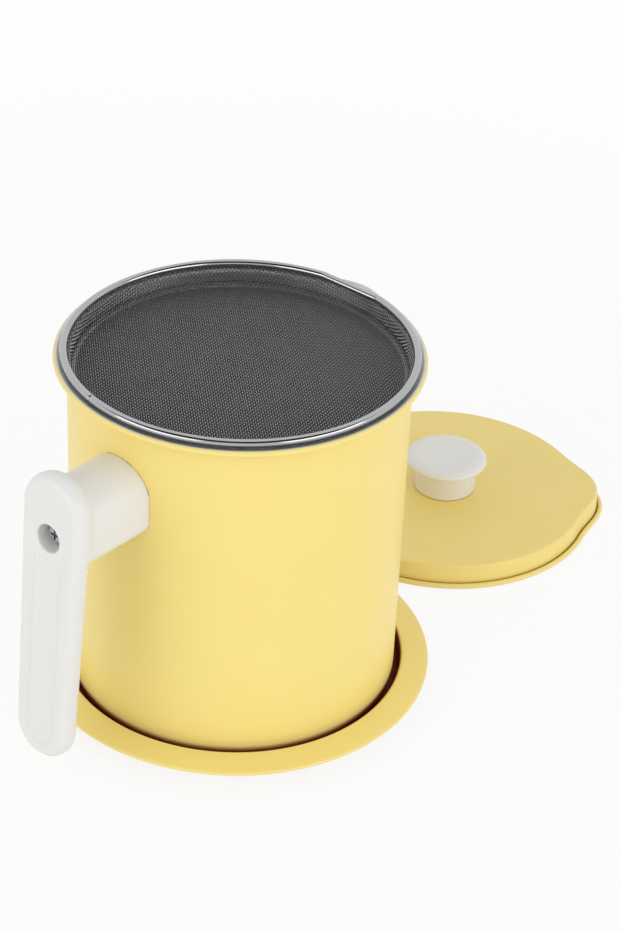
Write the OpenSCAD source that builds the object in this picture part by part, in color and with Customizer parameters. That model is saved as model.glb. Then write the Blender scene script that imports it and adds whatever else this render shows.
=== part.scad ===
// Grease keeper: a coated steel pot with a pouring spout and a moulded side handle,
// a wire cloth strainer that hangs in the mouth, a saucer under the pot, and a lid
// with a knob, lying on the table beside it. Millimetres, +Z up, the table is z = 0,
// the pot's axis is x = y = 0, the handle is on -X and the spout on +X.

/* [Pot] */
// Outer radius of the pot's wall
pot_r = 65; // [52:0.5:80]
// Height from the pot's underside to the ledge in its mouth
pot_h = 145.25; // [110:0.25:180]
// Thickness of the pot's sheet steel
pot_t = 0.6; // [0.4:0.05:1]
// Outer radius of the corner between base and wall
base_round = 6; // [3:0.5:10]
// Distance from the wall to the middle of the rolled lip
lip_out = 4; // [3.4:0.1:6]
// Radius of the lip's rolled edge
lip_tube = 1.2; // [1:0.05:1.6]
// How far the middle of the rolled lip lies under the ledge
lip_dip = 0.9; // [0:0.05:0.9]
// How far the spout pushes the lip outwards
spout_out = 2.6; // [2:0.2:9]
// How far the lip dips in the middle of the spout
spout_drop = 0.3; // [0:0.1:5]
// Height of the wall that flows into the spout
spout_h = 22; // [12:1:40]
// Half of the angle that the spout takes of the rim
spout_half = 12.5; // [11:0.5:30]

/* [Strainer] */
// Radius of the strainer's rolled ring
ring_tube = 1.55; // [1:0.05:2]
// Gap between the ring and the lip around it
ring_gap = 1.1; // [0.2:0.05:1.6]
// Half of the angle that the ring's straight side spans
chord_half = 12; // [10:0.5:24]
// How far the strainer is turned from the spout
strainer_turn = 1; // [-20:1:20]
// Gap between the mesh cup and the pot's wall
mesh_gap = 0.5; // [0.4:0.1:3]
// Depth of the mesh cup under the ledge
mesh_depth = 7.3; // [5:0.1:30]
// Thickness of the woven wire cloth
mesh_t = 0.5; // [0.4:0.05:0.8]
// Corner radius between the mesh floor and its side
mesh_round = 2; // [1.5:0.5:8]
// How much smaller the mesh cup is at its floor than at its top, in radius
mesh_slant = 0.3; // [0:0.1:6]

/* [Saucer] */
// Thickness of the saucer's sheet steel
tray_t = 0.8; // [0.6:0.05:1.2]
// Gap between the pot's wall and the saucer's well
well_gap = 2.6; // [1.5:0.1:6]
// Height of the well's edge above the table
well_h = 9.4; // [7:0.2:16]
// Width of the saucer's sloping rim
rim_w = 11.4; // [6:0.2:24]
// How far the rim falls from the well to its outer edge
rim_fall = 1.4; // [0:0.1:4]
// Radius of the saucer's rolled edge
rim_tube = 0.9; // [0.6:0.05:1.4]
// Corner radius between the saucer's floor and its well
well_round = 4; // [2:0.5:6]

/* [Lid] */
// How far the lid's edge ends inside the middle of the ring that it rests on
lid_inset = 0.6; // [0.2:0.1:1.4]
// Height of the lid's flat top above its underside
lid_h = 10.2; // [7:0.2:20]
// Thickness of the lid's sheet steel
lid_t = 0.7; // [0.5:0.05:1]
// Width of the flange outside the lid's skirt
flange_w = 2.6; // [2.2:0.1:5]
// How far the lid's beak reaches past the round edge
beak_out = 6; // [2:0.2:9]
// Half of the angle that the beak takes of the edge
beak_half = 25; // [16:0.5:35]
// Gap on the table between the saucer's rim and the lid's round edge
lid_gap = 6.15; // [2:0.05:60]
// Bearing from the pot to the lid that lies beside it
lid_bearing = 3.88; // [-90:0.02:90]
// Which way the lid's beak points
lid_turn = -46.5; // [-90:0.5:90]

/* [Knob] */
// Outer radius of the knob's cap
knob_r = 17.8; // [14:0.1:24]
// Radius of the knob's neck
neck_r = 13.6; // [9:0.1:13.8]
// Height of the knob
knob_h = 16.4; // [12:0.2:24]
// Thickness of the knob's cap
cap_h = 6; // [5:0.2:8]

/* [Handle] */
// Distance from the pot's wall to the grip's outer face, at the screw
grip_reach = 35.8; // [30:0.2:45]
// Distance from the pot's ledge down to the handle's screw
screw_down = 35.05; // [28:0.05:50]
// Height from the screw to the top of the grip
head_up = 25; // [20:0.5:32]
// Height of the grip's foot above the table
foot_up = 16.3; // [4:0.1:40]
// Width of the grip at its head
head_w = 29.5; // [28.6:0.1:34]
// Width of the grip at its foot
foot_w = 26; // [20:0.1:34]
// Thickness of the grip
grip_t = 8.8; // [7.5:0.1:12]
// Radius that rounds the grip's edges
grip_round = 3.8; // [2:0.1:4.4]
// Angle that the grip leans away from the pot, downwards
grip_lean = 4.8; // [0:0.1:8]
// Width of the boss between grip and pot
boss_w = 28.4; // [24:0.1:28.4]
// Height from the screw to the top of the boss
boss_up = 18.6; // [14.2:0.1:19]
// Height from the screw to the underside of the boss
boss_down = 10.4; // [8.5:0.1:14]
// Corner radius under the boss
boss_round = 6; // [2:0.5:8]
// Radius of the screw's access hole
access_r = 5.5; // [5:0.1:6.5]
// Depth of the access hole down to the screw's seat
access_depth = 6.2; // [5:0.2:14]
// Depth of the sunk panel down the grip's outer face
panel_depth = 0.4; // [0.2:0.1:1]
// Width of the grip's border beside that panel
panel_border = 6.2; // [5:0.1:9]

/* [Fasteners] */
// Radius of the machine screws' shanks
shank_r = 1.95; // [1.5:0.05:2.4]
// Radial clearance between a shank and its thread
thread_gap = 0.05; // [0.01:0.01:0.1]
// Radial clearance between a shank and a plain hole
hole_gap = 0.3; // [0.2:0.05:0.6]
// Radius of the screws' heads
screw_head_r = 3.8; // [3:0.1:4.5]
// Height of the screws' heads
screw_head_h = 2; // [1.6:0.1:3]
// Thickness of the washers
washer_t = 0.8; // [0.5:0.1:1.2]
// Length of the handle's screw under its head
screw_len = 19; // [16:0.5:19.5]
// Length of the knob's screw under its head
knob_screw_len = 8; // [6:0.5:10]

/* [Hidden] */
$fn = 96;

coat = [0.99, 0.91, 0.55];
plastic = [0.93, 0.93, 0.92];
steel = [0.72, 0.73, 0.75];
cloth = [0.38, 0.38, 0.4];

// Heights of the stack, from the table up
pot_z = tray_t;
ledge_z = pot_z + pot_h;
lip_z = ledge_z - lip_dip;
lip_r = pot_r + lip_out;
neck_round = 2 * pot_t;          // bend between the wall and the ledge, inside
spout_z = ledge_z - spout_h;

// The ring lies on the ledge inside the lip, ring_gap clear of its rolled edge
seat_gap = 0.1;                  // play between the ring and the ledge under it
ring_z = ledge_z + seat_gap + ring_tube;
ring_r = lip_r - sqrt(pow(lip_tube + ring_tube + ring_gap, 2) - pow(ring_z - lip_z, 2));
chord_x = ring_r * cos(chord_half);
ring_bend = 10;                  // bend between the ring's round and straight sides
mesh_r = pot_r - pot_t - mesh_gap;
mesh_z = ledge_z - mesh_depth;

well_r = pot_r + well_gap;
tray_r = well_r + rim_w;

// The lid's edge ends over the ring that it rests on when the pot is covered
lid_r = ring_r - lid_inset;
skirt_r = lid_r - flange_w;
lid_edge = 1.2;                  // bend between the lid's top and its skirt
bead_tube = 0.85;                // rolled edge of the lid's flange
skirt_slant = 0.4;               // how far the skirt spreads towards its foot
flat_r = 40;                     // the lid's flat middle, which the beak leaves round
draw_thin = 0.05;                // thinning of each face where the sheet is drawn out

screw_z = ledge_z - screw_down;
foot_down = (screw_z - foot_up) / cos(grip_lean);
grip_x = -(pot_r + grip_reach);
seat_x = grip_x + access_depth;
seat_wall = 5;                   // plastic between the screw's seat and the bush
saddle_t = 1.2;                  // the bracket's plate, welded to the pot
saddle_w = 18;
saddle_up = 9.5;                 // from the screw to the plate's top
saddle_down = 7.5;               // from the screw to the plate's underside
saddle_gap = 0.3;                // play of the handle round the plate
bush_r = 4.4;                    // threaded bush on that plate
bush_gap = 0.2;                  // play of the handle round the bush
bush_end = seat_x + seat_wall;
bush_bore = 14;                  // depth of the bush's thread
knob_washer_r = screw_head_r + 0.6;
seat_washer_r = access_r - 0.3;  // the handle's washer nearly fills the access hole
knob_bore = 9;                   // depth of the knob's thread

// Points along an arc about [cx, cy], from angle a to angle b in n steps
function arc(cx, cy, r, a, b, n) =
    [for (i = [0 : n]) let (t = a + (b - a) * i / n) [cx + r * cos(t), cy + r * sin(t)]];

// A wave that is 1 in the middle and dies out smoothly at +-half
function wave(a, half) = abs(a) < half ? (1 + cos(180 * a / half)) / 2 : 0;

// A rise from 0 to 1 that starts and ends level
function rise(t) = let (u = min(1, max(0, t))) u * u * (3 - 2 * u);

// The drawn part of a beak on +X, as a closed mesh. Each point of the section is
// [radius, height, share]: the share of the beak's reach that it takes. The section
// runs out along one face of the sheet and back along the other, so point k lies
// across the sheet from the k-th point from the end. The mesh runs on into the round
// metal at both sides by a small angle.
module beak(section, half, reach, drop) {
    steps = 16;
    n = len(section);
    bite = 0.5;
    points = [for (i = [0 : steps]) for (p = section)
        let (a = (half + bite) * (2 * i / steps - 1), r = p[0] + reach * p[2] * wave(a, half))
        [r * cos(a), r * sin(a), p[1] - drop * p[2] * wave(a, half)]];
    sides = [for (i = [0 : steps - 1]) for (j = [0 : n - 1])
        let (a = i * n + j, b = i * n + (j + 1) % n)
        each [[a, b, b + n], [a, b + n, a + n]]];
    caps = [for (k = [0 : n / 2 - 2]) for (last = [0, steps * n])
        each last == 0
            ? [[k + 1, k, n - 1 - k], [n - 2 - k, k + 1, n - 1 - k]]
            : [[last + k, last + k + 1, last + n - 1 - k],
               [last + k + 1, last + n - 2 - k, last + n - 1 - k]]];
    polyhedron(points, concat(sides, caps), convexity = 6);
}

// What the beak replaces: the slice of the round sheet on +X, from radius inner outwards
module beak_slice(half, inner, outer, low, high) {
    translate([0, 0, low])
        rotate([0, 0, -half])
            rotate_extrude(angle = 2 * half)
                translate([inner, 0]) square([outer - inner, high - low]);
}

function outline_of(section) = [for (p = section) [p[0], p[1]]];

// Section of the pot's mouth: up the outside of the wall, out under the ledge, round
// the rolled lip, back over the ledge and down the inside. The sheet is thinner by
// thin on each face where it is drawn into the spout, and starts low, at from_z.
function mouth_section(thin, from_z) =
    let (
        wall_top = ledge_z - neck_round,
        bend_r = pot_r - pot_t + neck_round,
        tube = lip_tube - thin,
        start = 180 + asin((lip_z - ledge_z + pot_t - thin) / tube),
        end = 540 + asin((lip_z - ledge_z + thin) / tube),
        climb = [each from_z < spout_z ? [from_z] : [],
                 for (i = [0 : 4]) spout_z + (wall_top - spout_z) * i / 4],
        outline = concat(
            [for (z = climb) [pot_r - thin, z]],
            arc(bend_r, wall_top, neck_round - pot_t + thin, 150, 90, 2),
            arc(lip_r, lip_z, tube, start, end, 13),
            arc(bend_r, wall_top, neck_round - thin, 90, 180, 3),
            [for (i = [len(climb) - 2 : -1 : 0]) [pot_r - pot_t + thin, climb[i]]]
        )
    )
    [for (p = outline) [p[0], p[1], rise((p[1] - spout_z) / spout_h)]];

module pot_shell() {
    corner_r = pot_r - base_round;
    corner_z = pot_z + base_round;
    color(coat) {
        difference() {
            rotate_extrude()
                polygon(concat(
                    [[0, pot_z]],
                    arc(corner_r, corner_z, base_round, -90, 0, 6),
                    outline_of(mouth_section(0, spout_z)),
                    arc(corner_r, corner_z, base_round - pot_t, 0, -90, 6),
                    [[0, pot_z + pot_t]]
                ));
            beak_slice(spout_half, corner_r, lip_r + 2 * lip_tube, spout_z, lip_z + 2 * lip_tube);
        }
        beak(mouth_section(draw_thin, spout_z - 1), spout_half, spout_out, spout_drop);
    }
}

module drip_tray() {
    edge = tray_r - rim_tube;
    edge_z = well_h - rim_fall - rim_tube;
    slope = atan(rim_fall / rim_w);
    rim_bend = 0.6;
    bend_r = well_r + tray_t + rim_bend;
    bend_z = well_h - tray_t - rim_bend;
    color(coat)
        rotate_extrude()
            polygon(concat(
                [[0, 0]],
                arc(well_r + tray_t - well_round, well_round, well_round, -90, 0, 5),
                arc(bend_r, bend_z, rim_bend, 180, 90 - slope, 3),
                arc(edge, edge_z, rim_tube, 170, 450 - slope, 12),
                arc(bend_r, bend_z, rim_bend + tray_t, 90 - slope, 180, 4),
                arc(well_r + tray_t - well_round, well_round, well_round - tray_t, 0, -90, 5),
                [[0, tray_t]]
            ));
}

// The ring: a round rod cut by a straight side, with a bend at both corners. Each
// stretch ends inside the next thicker one.
module ring_form(tube) {
    step = 0.03;
    lap = 0.5;
    bend_x = chord_x - ring_bend;
    bend_y = sqrt(pow(ring_r - ring_bend, 2) - pow(bend_x, 2));
    turn = atan2(bend_y, bend_x);
    lap_turn = lap / ring_bend * 180 / PI;
    rotate([0, 0, turn])
        rotate_extrude(angle = 360 - 2 * turn)
            translate([ring_r, 0]) circle(tube, $fn = 32);
    for (side = [-1, 1])
        translate([bend_x, side * bend_y, 0])
            rotate([0, 0, side > 0 ? 0 : -turn - lap_turn])
                rotate_extrude(angle = turn + lap_turn)
                    translate([ring_bend, 0]) circle(tube - step, $fn = 32);
    translate([chord_x, -bend_y - lap, 0])
        rotate([-90, 0, 0])
            cylinder(r = tube - 2 * step, h = 2 * bend_y + 2 * lap, $fn = 32);
}

// The mesh cup filled solid, made smaller all round by inset. Its side slants out to
// the ring, and the ring's straight side cuts it.
module cup_form(inset) {
    top_r = mesh_r - inset;
    floor_r = top_r - mesh_slant - mesh_round + inset;
    hem_r = ring_r - 0.8 * ring_tube - inset;
    intersection() {
        rotate_extrude()
            polygon(concat(
                [[0, mesh_z + inset]],
                arc(floor_r, mesh_z + mesh_round, mesh_round - inset, -90, 0, 5),
                [[top_r, ledge_z - 0.4], [hem_r, ring_z - 0.5 * ring_tube],
                 [hem_r, ring_z + inset], [0, ring_z + inset]]
            ));
        translate([-2 * pot_r, -2 * pot_r, 0])
            cube([2 * pot_r + chord_x - 0.6 * ring_tube - inset, 4 * pot_r, 2 * ledge_z]);
    }
}

module strainer_ring() {
    color(steel)
        translate([0, 0, ring_z])
            rotate([0, 0, strainer_turn]) ring_form(ring_tube);
}

module strainer_mesh() {
    color(cloth)
        rotate([0, 0, strainer_turn])
            difference() {
                cup_form(0);
                cup_form(mesh_t);
            }
}

// A rounded disc of thickness t lying against the plane x = 0, towards +X
module soft_disc(r, t, e) {
    rotate([0, 90, 0])
        rotate_extrude($fn = 48)
            polygon(concat([[0, 0]], arc(r - e, e, e, -90, 0, 4), arc(r - e, t - e, e, 0, 90, 4), [[0, t]]));
}

module grip() {
    head_r = head_w / 2;
    foot_r = foot_w / 2;
    translate([grip_x, 0, screw_z])
        rotate([0, grip_lean, 0])
            difference() {
                hull() {
                    translate([0, 0, head_up - head_r]) soft_disc(head_r, grip_t, grip_round);
                    translate([0, 0, foot_r - foot_down]) soft_disc(foot_r, grip_t, grip_round);
                }
                finger_panel();
            }
}

// The shallow sunk panel down the grip's outer face
module finger_panel() {
    panel_r = foot_w / 2 - panel_border;
    under_hole = 3.5;
    top = -access_r - under_hole;
    bottom = -(foot_down - foot_w / 2);
    translate([-1, 0, 0])
        rotate([90, 0, 90])
            linear_extrude(1 + panel_depth)
                union() {
                    translate([0, bottom]) circle(panel_r);
                    translate([-panel_r, bottom]) square([2 * panel_r, top - bottom]);
                }
}

// Outline of the boss: an arch over a flat underside with rounded corners
module boss_outline() {
    arch_r = boss_w / 2;
    translate([0, boss_up - arch_r]) circle(arch_r);
    translate([-arch_r, boss_round - boss_down])
        square([boss_w, boss_up - arch_r + boss_down - boss_round]);
    translate([boss_round - arch_r, -boss_down]) square([boss_w - 2 * boss_round, boss_round + 1]);
    for (side = [-1, 1])
        translate([side * (arch_r - boss_round), boss_round - boss_down]) circle(boss_round);
}

module along_x(x, z) {
    translate([x, 0, z]) rotate([0, 90, 0]) children();
}

// The round of the pot's wall, made larger by grow
module wall_round(grow) {
    translate([0, 0, pot_z - grow]) cylinder(r = pot_r + grow, h = pot_h + 2 * grow);
}

// The bracket's plate, bent round the pot's wall, made larger by grow on its free sides
module saddle_form(grow) {
    intersection() {
        difference() {
            wall_round(saddle_t + grow);
            wall_round(0);
        }
        translate([-2 * pot_r, -saddle_w / 2 - grow, screw_z - saddle_down - grow])
            cube([2 * pot_r, saddle_w + 2 * grow, saddle_up + saddle_down + 2 * grow]);
    }
}

module handle_bracket() {
    color(steel)
        difference() {
            union() {
                saddle_form(0);
                along_x(bush_end, screw_z) cylinder(r = bush_r, h = saddle_t - pot_r - bush_end);
            }
            along_x(bush_end - 1, screw_z) cylinder(r = shank_r + thread_gap, h = bush_bore + 1);
            wall_round(0);
        }
}

module handle() {
    color(plastic)
        difference() {
            union() {
                grip();
                translate([grip_x + grip_t / 2, 0, screw_z])
                    rotate([90, 0, 90])
                        linear_extrude(grip_reach + 4) boss_outline();
            }
            wall_round(0);
            saddle_form(saddle_gap);
            along_x(bush_end - 0.1, screw_z) cylinder(r = bush_r + bush_gap, h = -pot_r - bush_end);
            along_x(grip_x, screw_z) cylinder(r = shank_r + hole_gap, h = grip_reach);
            along_x(grip_x - 5, screw_z) cylinder(r = access_r, h = access_depth + 5);
        }
}

module washer(r, hole) {
    difference() {
        cylinder(r = r, h = washer_t);
        translate([0, 0, -1]) cylinder(r = hole, h = washer_t + 2);
    }
}

// A pan head screw with a cross recess: the shank runs towards +Z, the head is below 0
module pan_screw(len) {
    difference() {
        union() {
            cylinder(r = shank_r, h = len);
            rotate_extrude()
                polygon(concat([[0, 0]], [[screw_head_r, 0]],
                    arc(screw_head_r - 1.2, 1.2 - screw_head_h, 1.2, 0, -90, 4), [[0, -screw_head_h]]));
        }
        for (turn = [0, 90])
            rotate([0, 0, turn])
                translate([-2.1, -0.5, -screw_head_h - 1]) cube([4.2, 1, 2.3]);
    }
}

module handle_washer() {
    color(steel) along_x(seat_x - washer_t, screw_z) washer(seat_washer_r, shank_r + hole_gap);
}

module handle_screw() {
    color(steel) along_x(seat_x - washer_t, screw_z) pan_screw(screw_len);
}

// Places what belongs to the lid where the lid lies
module on_lid() {
    reach = tray_r + lid_gap + lid_r;
    translate([reach * cos(lid_bearing), reach * sin(lid_bearing), 0])
        rotate([0, 0, lid_turn]) children();
}

// Section of the lid outside its flat middle: down the inside of the skirt, round the
// flange's rolled edge and back up over the top. It is thinner by thin on each face
// where it is drawn into the beak.
function lid_section(thin, from_r) =
    let (
        bead_r = lid_r - bead_tube,
        side_r = skirt_r - skirt_slant,
        outline = concat(
            [[from_r, lid_h - lid_t + thin]],
            arc(side_r - lid_edge, lid_h - lid_edge, lid_edge - lid_t + thin, 90, 0, 4),
            [[skirt_r - lid_t + thin, thin], [skirt_r + 0.3, thin]],
            arc(bead_r, bead_tube, bead_tube - thin, -90, 190, 9),
            [[skirt_r + 0.3, lid_t - thin], [skirt_r - thin, lid_t + 0.3]],
            arc(side_r - lid_edge, lid_h - lid_edge, lid_edge - thin, 0, 90, 4),
            [[from_r, lid_h - thin]]
        )
    )
    [for (p = outline) [p[0], p[1], rise((p[0] - flat_r) / (side_r - lid_edge - flat_r))]];

module lid_shell() {
    color(coat)
        on_lid()
            difference() {
                union() {
                    difference() {
                        rotate_extrude()
                            polygon(concat(
                                [[0, lid_h], [0, lid_h - lid_t]],
                                outline_of(lid_section(0, flat_r))
                            ));
                        beak_slice(beak_half, flat_r, lid_r + 1, -1, lid_h + 1);
                    }
                    beak(lid_section(draw_thin, flat_r - 1), beak_half, beak_out, 0);
                }
                translate([0, 0, lid_h - lid_t - 1]) cylinder(r = shank_r + hole_gap, h = lid_t + 2);
            }
}

module lid_knob() {
    bend = 3.4;
    dish = 0.8;
    color(plastic)
        on_lid()
            translate([0, 0, lid_h])
                difference() {
                    rotate_extrude()
                        polygon(concat(
                            [[0, 0]],
                            arc(neck_r - 0.8, 0.8, 0.8, -90, 0, 2),
                            [[neck_r, knob_h - cap_h]],
                            arc(knob_r - 1.4, knob_h - cap_h + 1.4, 1.4, -90, 0, 4),
                            arc(knob_r - bend, knob_h - bend, bend, 0, 90, 6),
                            [[knob_r - bend - 3, knob_h - dish], [0, knob_h - dish]]
                        ));
                    translate([0, 0, -1]) cylinder(r = shank_r + thread_gap, h = knob_bore + 1);
                }
}

module knob_washer() {
    color(steel)
        on_lid()
            translate([0, 0, lid_h - lid_t - washer_t]) washer(knob_washer_r, shank_r + hole_gap);
}

module knob_screw() {
    color(steel)
        on_lid() translate([0, 0, lid_h - lid_t - washer_t]) pan_screw(knob_screw_len);
}

drip_tray();
pot_shell();
handle_bracket();
handle();
handle_washer();
handle_screw();
strainer_ring();
strainer_mesh();
lid_shell();
lid_knob();
knob_washer();
knob_screw();
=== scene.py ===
import math

import bpy
import numpy as np
from mathutils import Euler, Matrix, Vector


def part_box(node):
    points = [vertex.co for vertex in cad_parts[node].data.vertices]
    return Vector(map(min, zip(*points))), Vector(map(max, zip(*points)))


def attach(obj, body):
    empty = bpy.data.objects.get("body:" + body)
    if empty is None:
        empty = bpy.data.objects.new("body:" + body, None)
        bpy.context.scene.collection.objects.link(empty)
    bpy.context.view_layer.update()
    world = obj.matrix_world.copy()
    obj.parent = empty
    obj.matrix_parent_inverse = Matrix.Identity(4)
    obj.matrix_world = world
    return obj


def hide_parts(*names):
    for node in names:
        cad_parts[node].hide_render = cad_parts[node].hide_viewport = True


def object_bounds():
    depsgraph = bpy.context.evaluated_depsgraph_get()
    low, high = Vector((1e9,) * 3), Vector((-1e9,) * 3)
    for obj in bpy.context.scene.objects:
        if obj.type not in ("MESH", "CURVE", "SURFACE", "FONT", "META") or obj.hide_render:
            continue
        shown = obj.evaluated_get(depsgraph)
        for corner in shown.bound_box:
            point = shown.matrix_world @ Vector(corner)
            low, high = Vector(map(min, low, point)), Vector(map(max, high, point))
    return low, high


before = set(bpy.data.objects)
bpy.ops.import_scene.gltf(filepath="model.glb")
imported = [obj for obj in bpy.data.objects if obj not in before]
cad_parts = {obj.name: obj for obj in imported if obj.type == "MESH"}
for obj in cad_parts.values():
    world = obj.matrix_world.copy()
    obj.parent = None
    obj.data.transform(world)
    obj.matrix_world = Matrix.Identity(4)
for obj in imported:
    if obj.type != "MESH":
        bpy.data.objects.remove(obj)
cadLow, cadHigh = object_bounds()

print("frame loaded")

mm = 0.001


def toLinear(hexColour):
    values = [int(hexColour[i:i + 2], 16) / 255 for i in (1, 3, 5)]
    return [v / 12.92 if v <= 0.04045 else ((v + 0.055) / 1.055) ** 2.4 for v in values] + [1]


def arc(cx, cy, radius, start, end, steps):  # angles in degrees
    angles = np.radians(np.linspace(start, end, steps + 1))
    return [(cx + radius * math.cos(t), cy + radius * math.sin(t)) for t in angles]


def rise(t):  # from 0 to 1 with a soft start and end
    t = np.clip(t, 0, 1)
    return t * t * (3 - 2 * t)


def wave(angle, half):  # 1 in the middle, dying out smoothly at +-half
    return np.where(np.abs(angle) < half, (1 + np.cos(np.pi * angle / half)) / 2, 0)


def addNode(tree, kind, settings=None, links=None):
    node = tree.nodes.new(kind)
    for key, value in (settings or {}).items():
        if isinstance(key, int) or key in node.inputs:
            node.inputs[key].default_value = value
        else:
            setattr(node, key, value)
    for key, source in (links or {}).items():
        tree.links.new(source, node.inputs[key])
    return node


def newMaterial(name):
    material = bpy.data.materials.new(name)
    material.use_nodes = True
    return material, material.node_tree, material.node_tree.nodes["Principled BSDF"]


def makeMesh(name, points, faces, materials, slots=None, sharpAngle=40):
    mesh = bpy.data.meshes.new(name)
    mesh.from_pydata(points, [], faces)
    for material in materials:
        mesh.materials.append(material)
    if slots is not None:
        mesh.polygons.foreach_set("material_index", slots)
    mesh.polygons.foreach_set("use_smooth", [True] * len(mesh.polygons))
    mesh.set_sharp_from_angle(angle=math.radians(sharpAngle))
    mesh.validate()
    mesh.update()
    piece = bpy.data.objects.new(name, mesh)
    bpy.context.scene.collection.objects.link(piece)
    return piece


# Turns an outline of (radius, height) in mm round Z. An outline that ends on the axis is
# closed there by a fan, and any other is a closed loop. bend(radius, height, angle) may
# move the points, and slotOf(number of the outline's stretch) picks the material.
def turned(name, outline, materials, steps, bend=None, slotOf=None):
    radius = np.array([p[0] for p in outline], float)
    height = np.array([p[1] for p in outline], float)
    onAxis = radius < 1e-6
    angle = 2 * np.pi * np.arange(steps) / steps
    r = np.repeat(radius[:, None], steps, 1)
    z = np.repeat(height[:, None], steps, 1)
    if bend:
        r, z = bend(r, z, (angle[None, :] + np.pi) % (2 * np.pi) - np.pi)
    grid = np.stack([r * np.cos(angle), r * np.sin(angle), z], -1) * mm
    points, index = [], []
    for j in range(len(outline)):
        if onAxis[j]:
            index.append([len(points)] * steps)
            points.append((0, 0, height[j] * mm))
        else:
            index.append(list(range(len(points), len(points) + steps)))
            points.extend(map(tuple, grid[j]))
    faces, slots = [], []
    stretches = len(outline) - 1 if onAxis[0] else len(outline)
    for j in range(stretches):
        a, b = index[j], index[(j + 1) % len(outline)]
        for i in range(steps):
            k = (i + 1) % steps
            if a[i] == a[k]:
                faces.append((a[i], b[k], b[i]))
            elif b[i] == b[k]:
                faces.append((a[i], a[k], b[i]))
            else:
                faces.append((a[i], a[k], b[k], b[i]))
            slots.append(slotOf(j) if slotOf else 0)
    return makeMesh(name, points, faces, materials, slots)


# Powder coated sheet steel, sprayed and baked: a satin skin with a faint orange peel
# that breaks up the edges of its highlights. Deep in narrow gaps, where a point sees little
# of the open air within reach, painted shade darkens it: brown on the pot, olive on the lid.
def powderCoat(name, light, deep, gap, roughness=0.36, reach=9 * mm):
    cloudSize, peelSize, peelHeight = 200 / 9 * mm, 1.3 * mm, 0.012 * mm  # clouds of 22 mm
    seesLittle, seesEnough = 0.28, 0.5
    material, tree, shader = newMaterial(name)
    place = addNode(tree, "ShaderNodeTexCoord").outputs["Object"]
    cloud = addNode(tree, "ShaderNodeTexNoise", {"Scale": 1 / cloudSize, "Detail": 2}, {"Vector": place})
    skin = addNode(tree, "ShaderNodeMix", {"data_type": "RGBA", 6: toLinear(light), 7: toLinear(deep)},
                   {0: cloud.outputs["Fac"]})
    # painted shade: the gap colour takes over where a point sees little open air within reach
    sees = addNode(tree, "ShaderNodeAmbientOcclusion", {"Distance": reach, "samples": 8})
    bare = addNode(tree, "ShaderNodeMapRange", {"From Min": seesLittle, "From Max": seesEnough},
                   {"Value": sees.outputs["AO"]})
    tone = addNode(tree, "ShaderNodeMix", {"data_type": "RGBA", 6: toLinear(gap)},
                   {0: bare.outputs["Result"], 7: skin.outputs[2]})
    peel = addNode(tree, "ShaderNodeTexNoise", {"Scale": 1 / peelSize, "Detail": 1.5}, {"Vector": place})
    bump = addNode(tree, "ShaderNodeBump", {"Strength": 0.25, "Distance": peelHeight},
                   {"Height": peel.outputs["Fac"]})
    gloss = addNode(tree, "ShaderNodeMapRange", {"To Min": roughness - 0.03, "To Max": roughness + 0.04},
                    {"Value": cloud.outputs["Fac"]})
    tree.links.new(tone.outputs[2], shader.inputs["Base Color"])
    tree.links.new(bump.outputs["Normal"], shader.inputs["Normal"])
    tree.links.new(gloss.outputs["Result"], shader.inputs["Roughness"])
    shader.inputs["IOR"].default_value = 1.5
    return material


# Steel that was spun or polished on a wheel: fine lines run round the axis, and cloudy
# patches are a little duller. The ring's rod is smooth enough to mirror the room.
def polishedSteel(name, tone, roughness, lines=0.35 * mm):
    patchSize, lineHeight = 25 / 3 * mm, 0.008 * mm  # patches of 8 mm
    material, tree, shader = newMaterial(name)
    place = addNode(tree, "ShaderNodeTexCoord").outputs["Object"]
    split = addNode(tree, "ShaderNodeSeparateXYZ", {}, {0: place})
    flat = addNode(tree, "ShaderNodeCombineXYZ", {}, {0: split.outputs[0], 1: split.outputs[1]})
    away = addNode(tree, "ShaderNodeVectorMath", {"operation": "LENGTH"}, {0: flat.outputs[0]})
    across = addNode(tree, "ShaderNodeCombineXYZ", {}, {0: away.outputs["Value"], 1: split.outputs[2]})
    grain = addNode(tree, "ShaderNodeTexNoise", {"Scale": 1 / lines, "Detail": 3},
                    {"Vector": across.outputs[0]})
    patch = addNode(tree, "ShaderNodeTexNoise", {"Scale": 1 / patchSize, "Detail": 2}, {"Vector": place})
    gloss = addNode(tree, "ShaderNodeMapRange", {"To Min": roughness - 0.05, "To Max": roughness + 0.1},
                    {"Value": patch.outputs["Fac"]})
    bump = addNode(tree, "ShaderNodeBump", {"Strength": 0.2, "Distance": lineHeight},
                   {"Height": grain.outputs["Fac"]})
    tree.links.new(bump.outputs["Normal"], shader.inputs["Normal"])
    tree.links.new(gloss.outputs["Result"], shader.inputs["Roughness"])
    shader.inputs["Base Color"].default_value = toLinear(tone)
    shader.inputs["Metallic"].default_value = 1
    return material
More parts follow.
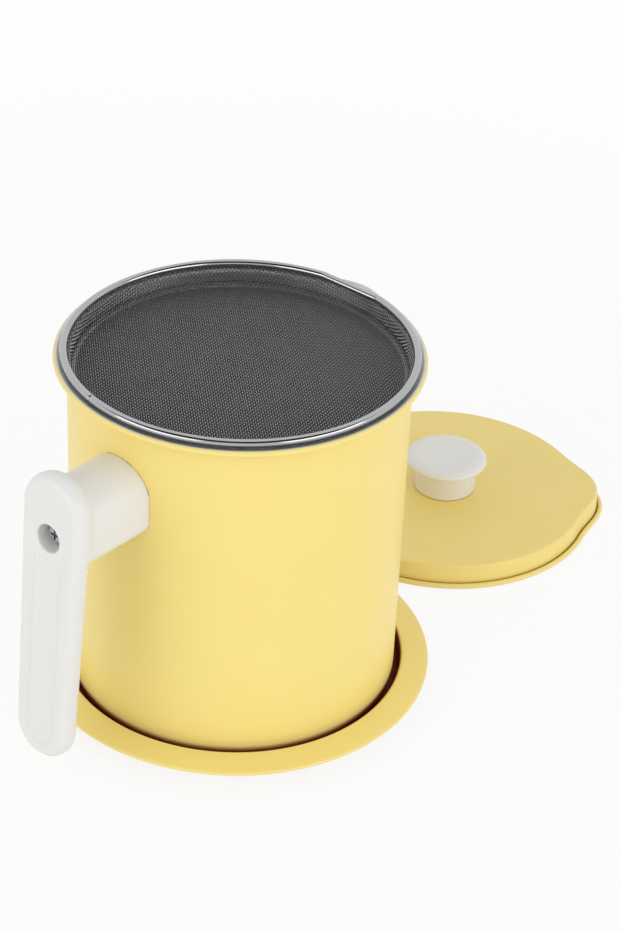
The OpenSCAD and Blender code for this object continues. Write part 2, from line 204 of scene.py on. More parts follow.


# Drawn stainless wire, woven and pressed, with painted light: a dark tone of painted shade, and a
# painted highlight where a knuckle of the weave stands up. Its share is a value on the mesh, 0 to 1.
def drawnWire(name, glintTone, shadeTone, roughness=0.34):
    stainSize, stainShare = 6.25 * mm, 0.08
    material, tree, shader = newMaterial(name)
    place = addNode(tree, "ShaderNodeTexCoord").outputs["Object"]
    stain = addNode(tree, "ShaderNodeTexNoise", {"Scale": 1 / stainSize, "Detail": 3}, {"Vector": place})
    # painted light: the value on the mesh mixes from the painted shade tone to the painted highlight
    # tone, and the stain noise adds real unevenness
    paintedGlint = addNode(tree, "ShaderNodeAttribute", {"attribute_name": "paintedGlint"})
    uneven = addNode(tree, "ShaderNodeMath",
                     {"operation": "MULTIPLY_ADD", 1: stainShare, 2: -stainShare / 2},
                     {0: stain.outputs["Fac"]})
    share = addNode(tree, "ShaderNodeMath", {"operation": "ADD", "use_clamp": True},
                    {0: paintedGlint.outputs["Fac"], 1: uneven.outputs[0]})
    tone = addNode(tree, "ShaderNodeMix", {"data_type": "RGBA", 6: toLinear(shadeTone), 7: toLinear(glintTone)},
                   {0: share.outputs[0]})
    gloss = addNode(tree, "ShaderNodeMapRange", {"To Min": roughness + 0.06, "To Max": roughness - 0.06},
                    {"Value": share.outputs[0]})
    tree.links.new(tone.outputs[2], shader.inputs["Base Color"])
    tree.links.new(gloss.outputs["Result"], shader.inputs["Roughness"])
    shader.inputs["Metallic"].default_value = 1
    return material


# Polypropylene, injection moulded in a lightly blasted tool: a milky white with broad,
# soft highlights and a skin that is never quite even.
def mouldedPlastic(name, light, deep, roughness=0.34):
    flowSize, gritSize, gritHeight = 50 / 3 * mm, 0.35 * mm, 0.006 * mm  # flow marks of 17 mm
    skinDepth = 1.5 * mm  # how far light goes into the plastic
    material, tree, shader = newMaterial(name)
    place = addNode(tree, "ShaderNodeTexCoord").outputs["Object"]
    flow = addNode(tree, "ShaderNodeTexNoise", {"Scale": 1 / flowSize, "Detail": 2}, {"Vector": place})
    tone = addNode(tree, "ShaderNodeMix", {"data_type": "RGBA", 6: toLinear(light), 7: toLinear(deep)},
                   {0: flow.outputs["Fac"]})
    grit = addNode(tree, "ShaderNodeTexNoise", {"Scale": 1 / gritSize, "Detail": 1}, {"Vector": place})
    bump = addNode(tree, "ShaderNodeBump", {"Strength": 0.15, "Distance": gritHeight},
                   {"Height": grit.outputs["Fac"]})
    gloss = addNode(tree, "ShaderNodeMapRange", {"To Min": roughness - 0.03, "To Max": roughness + 0.05},
                    {"Value": flow.outputs["Fac"]})
    tree.links.new(tone.outputs[2], shader.inputs["Base Color"])
    tree.links.new(bump.outputs["Normal"], shader.inputs["Normal"])
    tree.links.new(gloss.outputs["Result"], shader.inputs["Roughness"])
    shader.inputs["IOR"].default_value = 1.49
    shader.inputs["Subsurface Weight"].default_value = 0.08
    shader.inputs["Subsurface Radius"].default_value = (1, 0.9, 0.8)
    shader.inputs["Subsurface Scale"].default_value = skinDepth
    return material


# the last colour of each coat is the painted shade in its narrow gaps
yellowCoat = powderCoat("powderCoatYellowGapShade", "#fbe58c", "#f8e083", "#8a3018")
lidCoat = powderCoat("powderCoatLidGapShade", "#fae48e", "#f7df84", "#c4ab58", 0.4, 3 * mm)
bareSteel = polishedSteel("spunStainless", "#d6d6ce", 0.5)
ringSteel = polishedSteel("polishedRingRod", "#b0b1b3", 0.1)
# the wire's painted highlight tone and its dark painted shade tone
wireSteel = drawnWire("drawnStainlessWirePaintedGlint", "#e4e5e7", "#3a3b3d")
whitePlastic = mouldedPlastic("mouldedPolypropylene", "#ececea", "#e8e8e5")
zincSteel = polishedSteel("zincPlatedScrew", "#b9bbbd", 0.3, 0.15 * mm)
print("materials made")


pot = {"radius": 65, "sheet": 0.6, "baseRound": 6, "lipOut": 4, "lipTube": 1.2, "lipDip": 0.9,
       "coatTop": 67,  # where on the lip's roll the coat ends, in degrees up from its outer side
       "spoutOut": 2.6, "spoutDrop": 0.3, "spoutHeight": 22, "spoutHalf": 12.5}

potLow, potHigh = (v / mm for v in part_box("pot_shell"))
potBase = potLow.z
lipZ = potHigh.z - pot["lipTube"]
ledgeZ = lipZ + pot["lipDip"]
lipR = pot["radius"] + pot["lipOut"]
spoutZ = ledgeZ - pot["spoutHeight"]


def bendSpout(radius, height, angle):
    share = rise((height - spoutZ) / pot["spoutHeight"]) * wave(angle, math.radians(pot["spoutHalf"]))
    share = share * (radius > pot["radius"] - 2)  # the base and its corner stay round
    return radius + pot["spoutOut"] * share, height - pot["spoutDrop"] * share


def buildPot():
    p = pot
    r, t, b = p["radius"], p["sheet"], p["baseRound"]
    neck = 2 * t  # radius of the bend out to the ledge, on the pot's inside
    wallTop = ledgeZ - neck
    bendR = r - t + neck
    tube = p["lipTube"]
    start = 180 + math.degrees(math.asin((lipZ - ledgeZ + t) / tube))
    end = 540 + math.degrees(math.asin((lipZ - ledgeZ) / tube))
    climbSteps, lipSteps = 14, 36
    baseRows = [0, r - b - 4, r - b - 0.5]  # the row beside the bend keeps the base flat
    wallRows = [potBase + b + 1, spoutZ - 30, spoutZ - 1]
    wallRows += [spoutZ + (wallTop - spoutZ) * i / climbSteps for i in range(climbSteps + 1)]
    outside = [(x, potBase) for x in baseRows] + arc(r - b, potBase + b, b, -90, 0, 12)
    outside += [(r, z) for z in wallRows] + arc(bendR, wallTop, neck - t, 165, 90, 4)
    lip = arc(lipR, lipZ, tube, start, end, lipSteps)
    # the coat ends near the top of the roll, and from there inwards the steel is bare
    coatEnd = len(outside) + round(lipSteps * (360 + p["coatTop"] - start) / (end - start))
    inside = arc(bendR, wallTop, neck, 90, 180, 6) + [(r - t, z) for z in reversed(wallRows[:-1])]
    inside += arc(r - b, potBase + b, b - t, 0, -90, 12) + [(x, potBase + t) for x in reversed(baseRows)]
    piece = turned("potBody", outside + lip + inside, [yellowCoat, bareSteel], 360, bendSpout,
                   lambda j: 0 if j < coatEnd else 1)
    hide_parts("pot_shell")
    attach(piece, "pot")
    print("pot built")


saucer = {"sheet": 0.8, "wellGap": 2.6, "wellHeight": 9.4, "wellRound": 4, "rimWidth": 11.4,
          "rimFall": 1.4, "rimTube": 0.9, "rimBend": 0.6}


def buildSaucer():
    s = saucer
    t = s["sheet"]
    wellR = pot["radius"] + s["wellGap"]
    edge = wellR + s["rimWidth"] - s["rimTube"]
    edgeZ = s["wellHeight"] - s["rimFall"] - s["rimTube"]
    slope = math.degrees(math.atan(s["rimFall"] / s["rimWidth"]))
    bend = s["rimBend"]
    bendR, bendZ = wellR + t + bend, s["wellHeight"] - t - bend
    corner = wellR + t - s["wellRound"]
    flatRows = [0, corner - 5, corner - 0.5]
    outline = [(x, 0) for x in flatRows] + arc(corner, s["wellRound"], s["wellRound"], -90, 0, 10)
    outline += arc(bendR, bendZ, bend, 180, 90 - slope, 6)
    outline += arc(edge, edgeZ, s["rimTube"], 170, 450 - slope, 24)
    outline += arc(bendR, bendZ, bend + t, 90 - slope, 180, 8)
    outline += arc(corner, s["wellRound"], s["wellRound"] - t, 0, -90, 10)
    outline += [(x, t) for x in reversed(flatRows)]
    piece = turned("saucer", outline, [yellowCoat], 288)
    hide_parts("drip_tray")
    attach(piece, "tray")
    print("saucer built")


strainer = {
    # the ring, its straight side at the spout and its butt weld
    "tube": 1.55, "gap": 1.1, "seat": 0.1, "sides": 28, "chordHalf": 12, "turn": 1, "bend": 10,
    "seamAt": 166.8, "seamWidth": 0.25, "seamDepth": 0.34,
    # the weave: distances between wires, their radius, and how far they swing up and down
    "warpPitch": 0.87, "weftPitch": 1.1, "wire": 0.17, "swing": 0.19, "weaveTurn": 47.5,
    # the cup that the cloth is pressed into, and how far it goes into the ring
    "floorR": 62.2, "stepR": 63.7, "stepRise": 1.5, "wallR": 63.8, "depth": 6.85, "wallDrop": 0.75,
    "tuckIn": 0.65, "tuckDown": 0.76, "holdBack": 0.4,
    # painted highlight on the wires' high knuckles and in a line at the floor's edge, and painted shade
    # at the crease
    "plainGlint": 0.2, "warpGlint": 0.8, "weftGlint": 0.1, "edgeGlint": 0.35, "edgeWidth": 0.5,
    "creaseShade": 0.85, "creaseWidth": 0.55}

ringZ = ledgeZ + strainer["seat"] + strainer["tube"]
ringR = lipR - math.sqrt((pot["lipTube"] + strainer["tube"] + strainer["gap"]) ** 2 - (ringZ - lipZ) ** 2)
chordX = ringR * math.cos(math.radians(strainer["chordHalf"]))


# The ring's centre line seen from above: round, with one straight side between two bends,
# and with more points at the weld
def ringPath(step=1.2):
    bend = strainer["bend"]
    bendX = chordX - bend
    bendY = math.sqrt((ringR - bend) ** 2 - bendX ** 2)
    turn = math.atan2(bendY, bendX)
    path = []
    count = int(ringR * (2 * math.pi - 2 * turn) / step)
    seamRows = np.linspace(-1, 1, 15) * 2.5 * strainer["seamWidth"] / ringR
    seam = math.radians(strainer["seamAt"]) + seamRows
    for t in np.union1d(np.linspace(turn, 2 * math.pi - turn, count), seam):
        path.append((ringR * math.cos(t), ringR * math.sin(t)))
    corner = int(bend * turn / step * 2)
    for t in np.linspace(-turn, 0, corner + 1)[1:]:
        path.append((bendX + bend * math.cos(t), -bendY + bend * math.sin(t)))
    for y in np.linspace(-bendY, bendY, int(2 * bendY / step))[1:-1]:
        path.append((chordX, y))
    for t in np.linspace(0, turn, corner + 1)[:-1]:
        path.append((bendX + bend * math.cos(t), bendY + bend * math.sin(t)))
    return np.array(path)


# A rod bent round and butt welded to itself, with a slight notch left at the weld
def buildRing():
    path = ringPath()
    seamTurn = math.radians(strainer["seamAt"])
    seam = ringR * np.array([math.cos(seamTurn), math.sin(seamTurn)])
    notch = np.exp(-((np.linalg.norm(path - seam, axis=1) / strainer["seamWidth"]) ** 2))
    thick = strainer["tube"] - strainer["seamDepth"] * notch
    ahead = np.roll(path, -1, 0) - np.roll(path, 1, 0)
    ahead /= np.linalg.norm(ahead, axis=1)[:, None]
    side = np.stack([ahead[:, 1], -ahead[:, 0]], 1)
    sides = strainer["sides"]
    around = 2 * np.pi * np.arange(sides) / sides
    turn = math.radians(strainer["turn"])
    spin = np.array([[math.cos(turn), math.sin(turn)], [-math.sin(turn), math.cos(turn)]])
    points = []
    for centre, out, tube in zip(path, side, thick):
        for t in around:
            flat = (centre + out * tube * math.cos(t)) @ spin
            points.append((flat[0] * mm, flat[1] * mm, (ringZ + tube * math.sin(t)) * mm))
    faces = []
    n = len(path)
    for i in range(n):
        for j in range(sides):
            a, b = i * sides + j, i * sides + (j + 1) % sides
            c, d = ((i + 1) % n) * sides + (j + 1) % sides, ((i + 1) % n) * sides + j
            faces.append((a, b, c, d))
    piece = makeMesh("strainerRing", points, faces, [ringSteel])
    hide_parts("strainer_ring")
    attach(piece, "strainer")
    print("ring bent")


# Where a point of the flat cloth goes when the cloth is pressed into the cup: along the
# floor, up the crease and the wall and into the ring. Returns radius, height, the
# direction across the cloth and where on the flat cloth the bends are.
def pressed(rho):
    s = strainer
    floorZ = ledgeZ - s["depth"]
    corners = np.array([[0, floorZ], [s["floorR"], floorZ], [s["stepR"], floorZ + s["stepRise"]],
                        [s["wallR"], ledgeZ - s["wallDrop"]],
                        [ringR - s["tuckIn"] * s["tube"], ringZ - s["tuckDown"] * s["tube"]]])
    length = np.concatenate([[0], np.cumsum(np.linalg.norm(np.diff(corners, axis=0), axis=1))])
    radius = np.interp(rho, length, corners[:, 0])
    height = np.interp(rho, length, corners[:, 1])
    slope = np.diff(corners, axis=0) / np.diff(length)[:, None]
    piece = np.clip(np.searchsorted(length, rho) - 1, 0, len(slope) - 1)
    return radius, height, -slope[piece, 1], slope[piece, 0], length


# One wire of the cloth as a tube of four sides, from its places u, v on the flat cloth
# and how far it lies above or below it. A painted highlight goes on the wire's high places, most on
# the warp, and on the edge of the floor, and painted shade darkens the crease under the wall.
def wireTube(u, v, lift, shine):
    s = strainer
    wire = s["wire"]
    rho, phi = np.hypot(u, v), np.arctan2(v, u) + math.radians(s["weaveTurn"])
    radius, height, outR, outZ, bends = pressed(rho)
    normal = np.stack([outR * np.cos(phi), outR * np.sin(phi), outZ], 1)
    place = np.stack([radius * np.cos(phi), radius * np.sin(phi), height], 1) + normal * lift[:, None]
    # the ring's straight side holds the cloth back and presses its wires nearly flat
    place[:, 0] = np.minimum(place[:, 0], chordX - s["holdBack"] * s["tube"] + 0.05 * lift)
    ahead = np.gradient(place, axis=0)
    ahead /= np.linalg.norm(ahead, axis=1)[:, None]
    beside = np.cross(ahead, normal)
    beside /= np.linalg.norm(beside, axis=1)[:, None]
    upward = np.cross(beside, ahead)
    # painted highlight on the raised knuckles and at the floor's edge, and painted shade at the crease
    # under the wall
    paintedGlint = s["plainGlint"] + shine * np.maximum(lift, 0) / s["swing"]
    paintedGlint += s["edgeGlint"] * np.exp(-((rho - bends[1]) / s["edgeWidth"]) ** 2)
    paintedGlint *= 1 - s["creaseShade"] * np.exp(-((rho - bends[2]) / s["creaseWidth"]) ** 2)
    return np.stack([place + wire * upward, place + wire * beside,
                     place - wire * upward, place - wire * beside], 1), paintedGlint


# Some wires of the warp (sign 1) or the weft (sign -1) as one piece. They lie a pitch
# apart, and each goes over or under the next crossing wire after one beat.
def weaveWires(name, numbers, reach, pitch, beat, shine, sign):
    allPoints, allFaces, allGlint = [], [], []
    count = 0
    side = np.arange(4)[None, :]
    nextSide = (side + 1) % 4
    for i in numbers:
        offset = (i + 0.5) * pitch
        steps = int(math.sqrt(max(reach ** 2 - offset ** 2, 0)) / (beat / 2))
        if steps < 2:
            continue
        along = np.arange(-steps, steps + 1) * beat / 2
        lift = strainer["swing"] * np.sin(np.pi * along / beat) * (-1) ** i * sign
        across = np.full_like(along, offset)
        u, v = (along, across) if sign > 0 else (across, along)
        ring, paintedGlint = wireTube(u, v, lift, shine)
        n = len(along)
        base = count + 4 * np.arange(n - 1)[:, None]
        faces = np.stack([base + side, base + nextSide, base + 4 + nextSide, base + 4 + side], -1)
        last = count + 4 * (n - 1)
        ends = [[count + 3, count + 2, count + 1, count], [last, last + 1, last + 2, last + 3]]
        allPoints.append(ring.reshape(-1, 3))
        allGlint.append(np.repeat(paintedGlint, 4))
        allFaces += [faces.reshape(-1, 4), np.array(ends)]
        count += 4 * n
    points = np.concatenate(allPoints)
    x, y = points[:, 0].copy(), points[:, 1].copy()
    turn = math.radians(strainer["turn"])
    points[:, 0] = x * math.cos(turn) - y * math.sin(turn)
    points[:, 1] = x * math.sin(turn) + y * math.cos(turn)
    faces = np.concatenate(allFaces)
    piece = makeMesh(name, (points * mm).tolist(), faces.tolist(), [wireSteel], None, 180)
    layer = piece.data.attributes.new("paintedGlint", "FLOAT", "POINT")
    layer.data.foreach_set("value", np.concatenate(allGlint))
    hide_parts("strainer_mesh")
    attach(piece, "strainer")


def buildCloth():
    s = strainer
    reach = pressed(np.zeros(1))[4][-1]
    warp = ("clothWarp", s["warpPitch"], s["weftPitch"], s["warpGlint"], 1)
    weft = ("clothWeft", s["weftPitch"], s["warpPitch"], s["weftGlint"], -1)
    for name, pitch, beat, shine, sign in (warp, weft):
        wires = int(reach / pitch)
        for half, numbers in (("A", range(-wires, 0)), ("B", range(wires))):
            weaveWires(name + half, numbers, reach, pitch, beat, shine, sign)
    print("cloth woven")


handle = {
    "reach": 35.8, "screwZ": 111, "headUp": 25, "footDown": 95.03, "headW": 29.5, "footW": 26,
    "thick": 8.8, "soft": 3.8, "lean": 4.8,
    "bossW": 28.4, "bossUp": 18.6, "bossDown": 10.4, "bossRound": 6, "bossBlend": 1.6,
    "accessR": 5.5, "accessDepth": 6.2, "accessBlend": 0.7, "screwHoleR": 2.25,
    "panelDepth": 0.9, "panelBorder": 6.2, "panelGap": 3.5, "panelBlend": 0.9,
    # room for the bracket's bush and plate, and the gap to the pot's wall
    "bushR": 4.6, "bushReach": 4.9, "plateThick": 1.5, "plateHalf": 9.3, "plateUp": 9.8,
    "plateDown": 7.8, "wallGap": 0.02,
    "cell": 0.55}


def smoothMin(a, b, k):
    h = np.clip(0.5 + 0.5 * (b - a) / k, 0, 1)
    return b + (a - b) * h - k * h * (1 - h)


def smoothMax(a, b, k):
    return -smoothMin(-a, -b, k)


# Signed distance to the handle in mm, less than 0 inside
def handleShape(x, y, z):
    h = handle
    gripX = -(pot["radius"] + h["reach"])
    lean = math.radians(h["lean"])
    dx, dz = x - gripX, z - h["screwZ"]
    gx = dx * math.cos(lean) - dz * math.sin(lean)
    gz = dx * math.sin(lean) + dz * math.cos(lean)
    headR, footR = h["headW"] / 2, h["footW"] / 2
    headZ, footZ = h["headUp"] - headR, footR - h["footDown"]
    span = headZ - footZ
    tilt = (headR - footR) / span
    steep = math.sqrt(1 - tilt * tilt)
    away = np.abs(y)
    low = gz - footZ
    reach = low * steep + away * tilt  # along the slanting side between foot and head
    flat = away * steep - low * tilt - footR
    flat = np.where(reach < 0, np.hypot(away, low) - footR, flat)
    flat = np.where(reach > span * steep, np.hypot(away, low - span) - headR, flat)
    soft = h["soft"]
    depth = np.abs(gx - h["thick"] / 2) - h["thick"] / 2 + soft
    edge = flat + soft
    outer = np.hypot(np.maximum(edge, 0), np.maximum(depth, 0))
    grip = np.minimum(np.maximum(edge, depth), 0) + outer - soft
    # the shallow panel down the outer face
    panelR = footR - h["panelBorder"]
    panelTop = -h["accessR"] - h["panelGap"]
    panelZ = np.clip(gz, footZ, panelTop)
    topEnd = np.maximum(away - panelR, gz - panelTop)
    panel = np.where(gz > panelTop, topEnd, np.hypot(away, gz - panelZ) - panelR)
    panel = smoothMax(panel, gx - h["panelDepth"], h["panelBlend"])
    # the boss, an arch over a flat underside
    halfW = h["bossW"] / 2
    halfH = (h["bossUp"] + h["bossDown"]) / 2
    bz = dz - (h["bossUp"] - halfH)
    corner = np.where(bz > 0, halfW, h["bossRound"])
    qy, qz = away - halfW + corner, np.abs(bz) - halfH + corner
    boss = np.minimum(np.maximum(qy, qz), 0) + np.hypot(np.maximum(qy, 0), np.maximum(qz, 0)) - corner
    boss = np.maximum(boss, gripX + h["thick"] / 2 - x)
    solid = smoothMin(grip, boss, h["bossBlend"])
    solid = smoothMax(solid, -panel, h["panelBlend"])
    # the deep access hole, the screw's hole and the room for the bracket
    hole = np.hypot(y, dz)
    access = np.maximum(hole - h["accessR"], x - gripX - h["accessDepth"])
    solid = smoothMax(solid, -access, h["accessBlend"])
    solid = np.maximum(solid, h["screwHoleR"] - hole)
    bush = np.maximum(hole - h["bushR"], gripX + h["accessDepth"] + h["bushReach"] - x)
    solid = np.maximum(solid, -bush)
    wall = np.hypot(x, y)
    upright = np.maximum(dz - h["plateUp"], -h["plateDown"] - dz)
    plate = np.maximum(np.maximum(wall - pot["radius"] - h["plateThick"], away - h["plateHalf"]), upright)
    solid = np.maximum(solid, -plate)
    return np.maximum(solid, pot["radius"] + h["wallGap"] - wall)


# Moves points onto the surface where shape is 0, in a few short steps along its slope
def pullOnto(shape, points, cell, rounds=4, tiny=0.01):
    longestStep, leastSize = 0.3 * cell, 0.25
    for _ in range(rounds):
        d = shape(*points.T)
        slope = np.stack([shape(*(points + shift).T) - shape(*(points - shift).T)
                          for shift in tiny * np.eye(3)], 1) / (2 * tiny)
        size = (slope ** 2).sum(1)
        move = -slope * (d / np.maximum(size, leastSize))[:, None]
        length = np.linalg.norm(move, axis=1)
        points += move * np.minimum(1, longestStep / np.maximum(length, 1e-9))[:, None]
    return points


# A mesh of the places where shape is 0: one point in each cell that it crosses, set to
# the middle of the crossings on the cell's edges, then moved onto the surface.
def netOf(shape, low, high, cell):
    counts = [int(math.ceil((b - a) / cell)) + 1 for a, b in zip(low, high)]
    axes = [a + cell * np.arange(n) for a, n in zip(low, counts)]
    grid = np.meshgrid(*axes, indexing="ij")
    value = shape(*grid)
    inside = value < 0
    total = np.zeros(tuple(n - 1 for n in counts) + (3,))
    hits = np.zeros(tuple(n - 1 for n in counts))
    crossings = []
    for axis in range(3):
        first = [slice(None)] * 3
        second = [slice(None)] * 3
        first[axis], second[axis] = slice(0, -1), slice(1, None)
        a, b = value[tuple(first)], value[tuple(second)]
        crossed = inside[tuple(first)] != inside[tuple(second)]
        at = np.where(crossed, a / np.where(crossed, a - b, 1), 0)
        where = np.argwhere(crossed)
        crossings.append((axis, where, inside[tuple(first)][crossed]))
        spot = where.astype(float)
        spot[:, axis] += at[crossed]
        others = [k for k in range(3) if k != axis]
        for da in (0, -1):
            for db in (0, -1):
                c = where.copy()
                c[:, others[0]] += da
                c[:, others[1]] += db
                ok = ((c >= 0) & (c < np.array(hits.shape))).all(1)
                np.add.at(total, tuple(c[ok].T), spot[ok])
                np.add.at(hits, tuple(c[ok].T), 1)
    used = hits > 0
    number = np.full(hits.shape, -1)
    number[used] = np.arange(used.sum())
    points = total[used] / hits[used][:, None] * cell + np.array(low)
    faces = []
    for axis, where, startsInside in crossings:
        o1, o2 = (axis + 1) % 3, (axis + 2) % 3
        corners = []
        for d1, d2 in ((0, 0), (-1, 0), (-1, -1), (0, -1)):
            c = where.copy()
            c[:, o1] += d1
            c[:, o2] += d2
            corners.append(number[tuple(c.T)])
        quad = np.stack(corners, 1)
        quad[~startsInside] = quad[~startsInside][:, ::-1]
        faces.append(quad)
    return pullOnto(shape, points, cell), np.concatenate(faces)


def buildHandle():
    low, high = (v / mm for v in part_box("handle"))
    cell = handle["cell"]
    margin = 1.5 * cell
    points, faces = netOf(handleShape, [v - margin for v in low], [v + margin for v in high], cell)
    piece = makeMesh("sideHandle", (points * mm).tolist(), faces.tolist(), [whitePlastic], None, 50)
    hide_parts("handle")
    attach(piece, "pot")
    print("handle built", len(faces), "faces")


lid = {"inset": 0.6, "height": 10.2, "sheet": 0.7, "flange": 2.6, "bead": 1.1, "edge": 1.2,
       "slant": 0.4, "flat": 40, "beakOut": 6, "beakHalf": 25,
       "gap": 6.15, "bearing": 3.88, "turn": -46.5}  # where it lies on the table, and its turn

lidR = ringR - lid["inset"]
lidReach = pot["radius"] + saucer["wellGap"] + saucer["rimWidth"] + lid["gap"] + lidR
bearing = math.radians(lid["bearing"])
lidPlace = Matrix.Translation((lidReach * math.cos(bearing) * mm, lidReach * math.sin(bearing) * mm, 0))


def bendBeak(radius, height, angle):
    full = lidR - lid["flange"] - lid["slant"] - lid["edge"]
    share = rise((radius - lid["flat"]) / (full - lid["flat"]))
    return radius + lid["beakOut"] * share * wave(angle, math.radians(lid["beakHalf"])), height


def settle(piece, body, turn=0):
    piece.data.transform(lidPlace @ Matrix.Rotation(math.radians(turn), 4, "Z"))
    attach(piece, body)


def buildLid():
    s = lid
    t, top, edge = s["sheet"], s["height"], s["edge"]
    skirtR = lidR - s["flange"]
    edgeR = skirtR - s["slant"] - edge
    beadR = lidR - s["bead"]
    chamfer, foot = 0.2, 0.3
    flatRows = [0, s["flat"], s["flat"] + 10, edgeR - 0.5]
    outline = [(x, top - t) for x in flatRows] + arc(edgeR, top - edge, edge - t, 90, 0, 6)
    outline += [(skirtR - t, chamfer), (skirtR - t + chamfer, 0), (skirtR + foot, 0)]
    outline += arc(beadR, s["bead"], s["bead"], -90, 190, 20)
    outline += [(skirtR + foot, t), (skirtR, t + foot)]
    outline += arc(edgeR, top - edge, edge, 0, 90, 8) + [(x, top) for x in reversed(flatRows)]
    piece = turned("potLid", outline, [lidCoat], 360, bendBeak)
    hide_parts("lid_shell")
    settle(piece, "lid", s["turn"])
    print("lid built")


knob = {"radius": 17.8, "neck": 13.6, "height": 16.4, "footRound": 0.8, "underRound": 0.6,
        "cap": 3.2, "flat": 12.8, "lipRound": 0.6, "dish": 0.5}


# A mushroom: a straight neck, a thin edge, a wide round shoulder and a slightly dished top
def buildKnob():
    k = knob
    top = lid["height"]
    foot, fillet, edge = k["footRound"], k["underRound"], k["lipRound"]
    crown = top + k["height"]
    under = crown - k["cap"]
    shoulder = k["cap"] - edge
    outline = [(0, top)] + arc(k["neck"] - foot, top + foot, foot, -90, 0, 4)
    outline += arc(k["neck"] + fillet, under - fillet, fillet, 180, 90, 4)
    outline += arc(k["radius"] - edge, under + edge, edge, -90, 0, 6)
    wide = k["radius"] - k["flat"]
    outline += [(k["flat"] + wide * math.cos(t), crown - shoulder + shoulder * math.sin(t))
                for t in np.radians(np.linspace(0, 90, 19)[1:])]
    outline += [(k["flat"] * t, crown - k["dish"] * (1 - t * t)) for t in (0.9, 0.75, 0.55, 0.3, 0)]
    piece = turned("lidKnob", outline, [whitePlastic], 160)
    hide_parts("lid_knob")
    settle(piece, "lid")
    print("knob built")


buildPot()
buildSaucer()
buildRing()
buildCloth()
buildHandle()
buildLid()
buildKnob()

# the bracket, washers and screws keep their CAD shapes
for node in ("handle_bracket", "handle_washer", "handle_screw", "knob_washer", "knob_screw"):
    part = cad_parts[node]
    part.data.materials.clear()
    part.data.materials.append(zincSteel)


view = {"place": (-603.5, -533.9, 621.9), "heading": 39.51, "pitch": 33.11, "roll": 2.70,
        "lens": 96.63, "film": 36}
# lengths in m, but floorDrop in mm, and angles in degrees
room = {"size": 6, "skyForObject": 0.69, "floorDrop": 0.2,
        # the share of its own shading that the paper keeps, and where that starts to fade and ends
        "shadow": 0.14, "shadowReach": (0.3, 0.8),
        # the dark band: the light left in it and its middle. Up and down it fades out between
        # darkTo and darkFrom, and sideways over the last darkSideFade before darkSide.
        "dark": 0.05, "darkHeading": 221, "darkPitch": 54, "darkTo": 18, "darkFrom": 30,
        "darkSide": 108, "darkSideFade": 22,
        # the lamps' size, and for each one its heading, pitch, distance and power in W
        "lamp": (2, 1), "key": (273, 20, 2.1, 11.2), "fill": (172, 18, 2.1, 9.6)}


def buildCamera():
    data = bpy.data.cameras.new("camera")
    data.lens = view["lens"]
    data.sensor_width = view["film"]
    data.clip_start, data.clip_end = 0.05, 20
    camera = bpy.data.objects.new("camera", data)
    turn = Euler((math.radians(90 - view["pitch"]), 0, math.radians(view["heading"] - 90))).to_matrix()
    turn = turn @ Matrix.Rotation(math.radians(view["roll"]), 3, "Z")
    camera.matrix_world = Matrix.Translation([v * mm for v in view["place"]]) @ turn.to_4x4()
    bpy.context.scene.collection.objects.link(camera)
    bpy.context.scene.camera = camera


# The rays that see the background: the camera's, and those from metal and through glass
def backdropRays(tree):
    ray = addNode(tree, "ShaderNodeLightPath")
    mirrored = addNode(tree, "ShaderNodeMath", {"operation": "MAXIMUM"},
                       {0: ray.outputs["Is Glossy Ray"], 1: ray.outputs["Is Transmission Ray"]})
    return ray, mirrored


# White paper, with a share of its own shading kept near the object for a faint shadow
def buildFloor():
    fibreSize = 2.5 * mm
    material, tree, shader = newMaterial("paperSweep")  # matt, uncoated
    shader.inputs["Roughness"].default_value = 0.9
    shader.inputs["Base Color"].default_value = toLinear("#fafafa")
    fibre = addNode(tree, "ShaderNodeTexNoise", {"Scale": 1 / fibreSize})
    bump = addNode(tree, "ShaderNodeBump", {"Strength": 0.02, "Distance": 0.05 * mm},
                   {"Height": fibre.outputs["Fac"]})
    tree.links.new(bump.outputs["Normal"], shader.inputs["Normal"])
    output = tree.nodes["Material Output"]
    white = addNode(tree, "ShaderNodeEmission", {"Color": (1, 1, 1, 1), "Strength": 1})
    ray, mirrored = backdropRays(tree)
    background = addNode(tree, "ShaderNodeMath", {"operation": "ADD"},
                         {0: ray.outputs["Is Camera Ray"], 1: mirrored.outputs[0]})
    place = addNode(tree, "ShaderNodeNewGeometry").outputs["Position"]
    away = addNode(tree, "ShaderNodeVectorMath", {"operation": "LENGTH"}, {0: place})
    near, far = room["shadowReach"]
    share = addNode(tree, "ShaderNodeMapRange",
                    {"From Min": near, "From Max": far, "To Min": 1 - room["shadow"], "To Max": 1},
                    {"Value": away.outputs["Value"]})
    seen = addNode(tree, "ShaderNodeMath", {"operation": "MULTIPLY"},
                   {0: background.outputs[0], 1: share.outputs["Result"]})
    mix = addNode(tree, "ShaderNodeMixShader", {},
                  {0: seen.outputs[0], 1: shader.outputs[0], 2: white.outputs[0]})
    tree.links.new(mix.outputs[0], output.inputs["Surface"])
    half = room["size"] / 2
    corners = [(-half, -half, 0), (half, -half, 0), (half, half, 0), (-half, half, 0)]
    floor = makeMesh("floor", corners, [(0, 1, 2, 3)], [material])
    floor.location.z = -room["floorDrop"] * mm


# A broad soft lamp, from its heading, pitch and distance as seen from the object
def addLamp(name, aim, heading, pitch, away, power):
    data = bpy.data.lights.new(name, "AREA")
    data.shape = "RECTANGLE"
    data.size, data.size_y = room["lamp"]
    data.energy = power
    heading, pitch = math.radians(heading), math.radians(pitch)
    level = math.cos(pitch)
    offset = Vector((math.cos(heading) * level, math.sin(heading) * level, math.sin(pitch)))
    lamp = bpy.data.objects.new(name, data)
    lamp.location = aim + away * offset
    lamp.rotation_euler = offset.to_track_quat("Z", "Y").to_euler()
    bpy.context.scene.collection.objects.link(lamp)


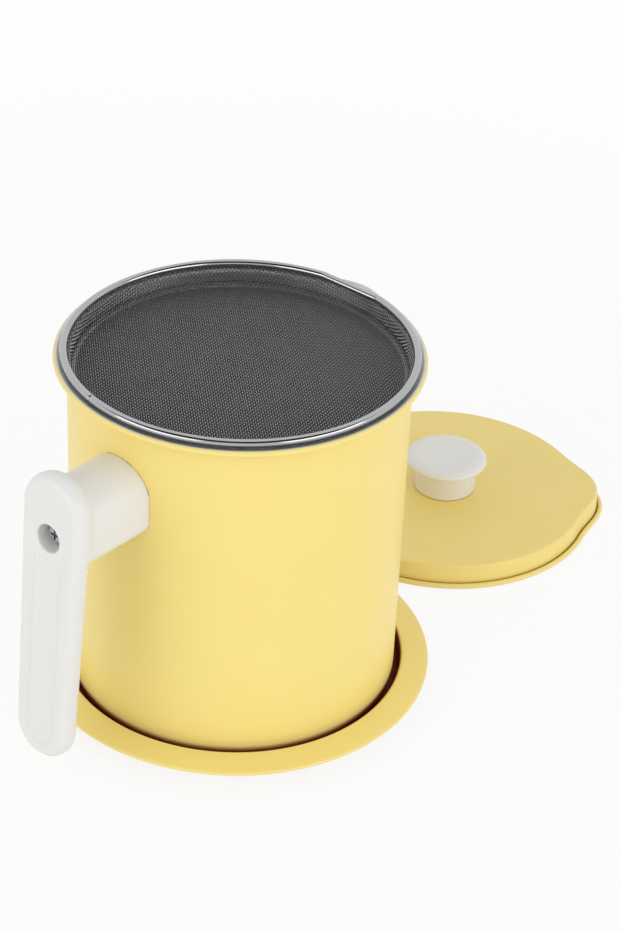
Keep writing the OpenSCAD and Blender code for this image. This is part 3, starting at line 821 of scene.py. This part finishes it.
# White all round for what the camera sees, a little darker for what lights the object,
# and a dark band high up behind the camera, which the metal mirrors as a black line
def buildLight():
    world = bpy.data.worlds.new("studio")
    bpy.context.scene.world = world
    world.use_nodes = True
    tree = world.node_tree
    sky = tree.nodes["Background"]
    heading = math.radians(room["darkHeading"])
    ray, mirrored = backdropRays(tree)
    direction = addNode(tree, "ShaderNodeTexCoord").outputs["Generated"]
    split = addNode(tree, "ShaderNodeSeparateXYZ", {}, {0: direction})
    pitch = addNode(tree, "ShaderNodeMath", {"operation": "ARCSINE"}, {0: split.outputs[2]})
    off = addNode(tree, "ShaderNodeMath", {"operation": "SUBTRACT", 1: math.radians(room["darkPitch"])},
                  {0: pitch.outputs[0]})
    off = addNode(tree, "ShaderNodeMath", {"operation": "ABSOLUTE"}, {0: off.outputs[0]})
    band = addNode(tree, "ShaderNodeMapRange",
                   {"interpolation_type": "SMOOTHSTEP", "To Min": 1, "To Max": 0,
                    "From Min": math.radians(room["darkTo"]), "From Max": math.radians(room["darkFrom"])},
                   {"Value": off.outputs[0]})
    flat = addNode(tree, "ShaderNodeVectorMath", {"operation": "MULTIPLY", 1: (1, 1, 0)}, {0: direction})
    flat = addNode(tree, "ShaderNodeVectorMath", {"operation": "NORMALIZE"}, {0: flat.outputs[0]})
    middle = (math.cos(heading), math.sin(heading), 0)
    towards = addNode(tree, "ShaderNodeVectorMath", {"operation": "DOT_PRODUCT", 1: middle},
                      {0: flat.outputs[0]})
    sideEnd, sideFull = room["darkSide"], room["darkSide"] - room["darkSideFade"]
    side = addNode(tree, "ShaderNodeMapRange",
                   {"interpolation_type": "SMOOTHSTEP", "From Min": math.cos(math.radians(sideEnd)),
                    "From Max": math.cos(math.radians(sideFull))},
                   {"Value": towards.outputs["Value"]})
    dark = addNode(tree, "ShaderNodeMath", {"operation": "MULTIPLY"},
                   {0: band.outputs["Result"], 1: side.outputs["Result"]})
    dark = addNode(tree, "ShaderNodeMath", {"operation": "MULTIPLY"},
                   {0: dark.outputs[0], 1: mirrored.outputs[0]})
    end = addNode(tree, "ShaderNodeMapRange", {"To Min": 1, "To Max": room["dark"]},
                  {"Value": dark.outputs[0]})
    level = addNode(tree, "ShaderNodeMapRange", {"To Min": room["skyForObject"], "To Max": 1},
                    {"Value": mirrored.outputs[0]})
    shaded = addNode(tree, "ShaderNodeMath", {"operation": "MULTIPLY"},
                     {0: level.outputs["Result"], 1: end.outputs["Result"]})
    seen = addNode(tree, "ShaderNodeMath", {"operation": "MAXIMUM"},
                   {0: shaded.outputs[0], 1: ray.outputs["Is Camera Ray"]})
    sky.inputs["Color"].default_value = (1, 1, 1, 1)
    tree.links.new(seen.outputs[0], sky.inputs["Strength"])
    aim = (cadLow + cadHigh) / 2
    addLamp("keyLamp", aim, *room["key"])
    addLamp("fillLamp", aim, *room["fill"])


buildCamera()
buildFloor()
buildLight()
bpy.context.scene.view_settings.view_transform = "Standard"
print("room lit")
